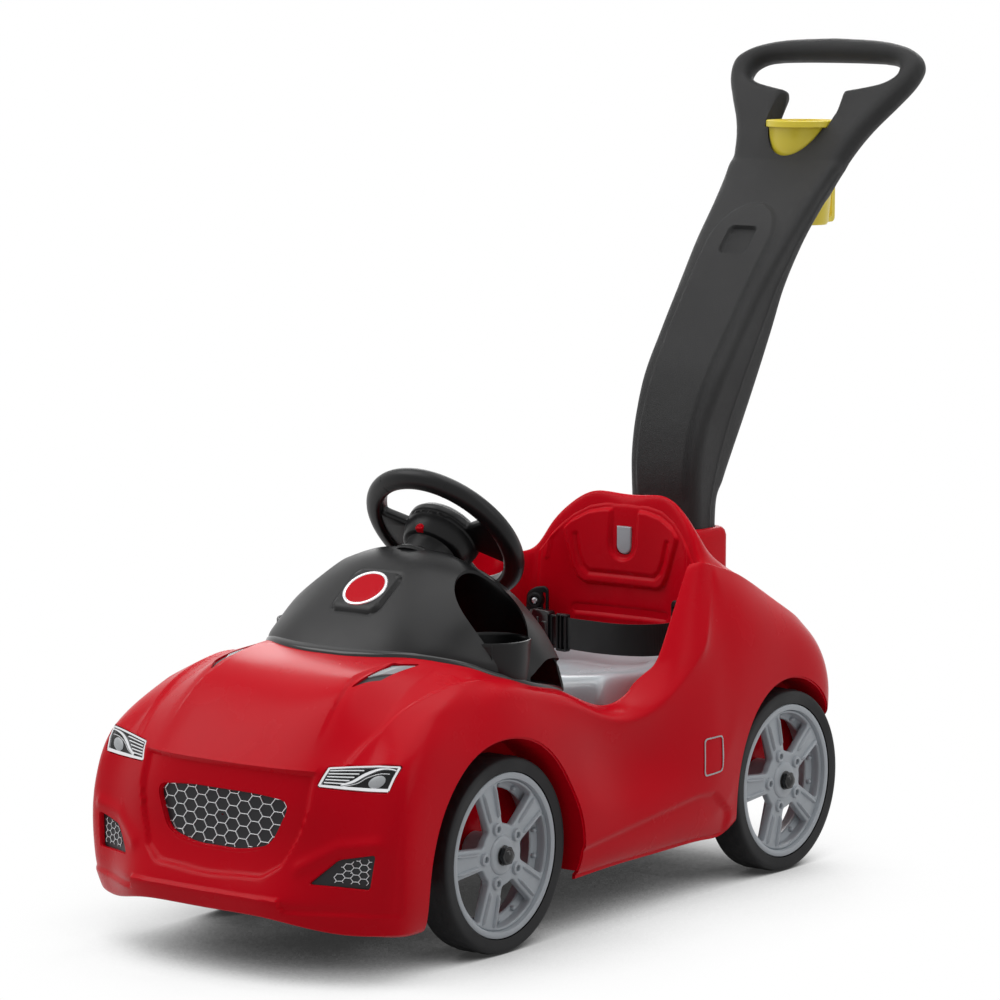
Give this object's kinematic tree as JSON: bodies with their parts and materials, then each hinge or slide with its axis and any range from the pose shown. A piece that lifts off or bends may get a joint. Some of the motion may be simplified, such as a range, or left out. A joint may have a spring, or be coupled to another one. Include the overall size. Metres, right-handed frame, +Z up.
{
  "type": "ride-on push car",
  "caption": "Toddler push car with a moulded body, spoked free-rolling wheels, steering wheel, lap belt and a lift-out rear push handle that holds a cup.",
  "frame": {"origin": "on the ground, below the middle of the car's bounding box", "axes": "the car faces -Y, its left side is +X, and +Z is up"},
  "size_m": [0.4246, 1.1943, 0.9395],
  "materials": {
    "red": "glossy moulded red plastic",
    "black": "satin black plastic",
    "grained": "finely grained black plastic",
    "grey": "light grey plastic with a soft shine",
    "tyre": "dull black tread",
    "steel": "zinc-plated steel",
    "yellow": "glossy yellow plastic",
    "webbing": "woven black webbing",
    "print": "printed film"
  },
  "bodies": {
    "chassis": {"body_shell": "red", "dash_cowl": "black", "grille": "black", "hood_vent_left": "black", "hood_vent_right": "black", "column_bezel": "black", "buckle_body": "black", "buckle_tongue": "black", "belt_adjuster": "black", "anchor_plate_left": "black", "anchor_plate_right": "black", "spacer_front_left": "black", "spacer_front_right": "black", "spacer_rear_left": "black", "spacer_rear_right": "black", "axle_cap_front_left": "black", "axle_cap_front_right": "black", "axle_cap_rear_left": "black", "axle_cap_rear_right": "black", "seat_pan": "grey", "fog_grille_left": "grey", "fog_grille_right": "grey", "front_axle": "steel", "rear_axle": "steel", "anchor_screw_left": "steel", "anchor_screw_right": "steel", "belt_strap_left": "webbing", "belt_strap_right": "webbing", "headlight_left": "print", "headlight_right": "print", "flank_badge_left": "print", "flank_badge_right": "print", "dash_badge": "print"},
    "wheel_front_left": {"rim_front_left": "grey", "tyre_front_left": "tyre"},
    "wheel_front_right": {"rim_front_right": "grey", "tyre_front_right": "tyre"},
    "wheel_rear_left": {"rim_rear_left": "grey", "tyre_rear_left": "tyre"},
    "wheel_rear_right": {"rim_rear_right": "grey", "tyre_rear_right": "tyre"},
    "steering": {"steering_wheel": "black", "steering_shaft": "steel", "column_washer": "steel", "column_lock": "red"},
    "horn": {"horn_button": "black"},
    "handle": {"push_handle": "grained"},
    "cup": {"cup": "yellow"},
    "latch": {"latch_button": "grey"}
  },
  "joints": [
    {"name": "wheel_front_left_spin", "type": "hinge", "parent": "chassis", "child": "wheel_front_left", "pos_m": [0.1675, -0.3282, 0.104], "axis": [1, 0, 0], "continuous": true},
    {"name": "wheel_front_right_spin", "type": "hinge", "parent": "chassis", "child": "wheel_front_right", "pos_m": [-0.1675, -0.3282, 0.104], "axis": [1, 0, 0], "continuous": true},
    {"name": "wheel_rear_left_spin", "type": "hinge", "parent": "chassis", "child": "wheel_rear_left", "pos_m": [0.1675, 0.2028, 0.104], "axis": [1, 0, 0], "continuous": true},
    {"name": "wheel_rear_right_spin", "type": "hinge", "parent": "chassis", "child": "wheel_rear_right", "pos_m": [-0.1675, 0.2028, 0.104], "axis": [1, 0, 0], "continuous": true},
    {"name": "steering_spin", "type": "hinge", "parent": "chassis", "child": "steering", "pos_m": [0, -0.1892, 0.4124], "axis": [0, 0.766, 0.6428], "continuous": true},
    {"name": "horn_press", "type": "slide", "parent": "steering", "child": "horn", "axis": [0, -0.766, -0.6428], "range_m": [0, 0.003], "stiffness_N_per_m": 400},
    {"name": "handle_lift", "type": "slide", "parent": "chassis", "child": "handle", "axis": [0, 0, 1], "range_m": [0, 0.165]},
    {"name": "latch_press", "type": "slide", "parent": "chassis", "child": "latch", "axis": [0, 1, 0], "range_m": [0, 0.006], "stiffness_N_per_m": 600},
    {"name": "cup_lift", "type": "slide", "parent": "handle", "child": "cup", "axis": [0, 0, 1], "range_m": [0, 0.09]}
  ]
}
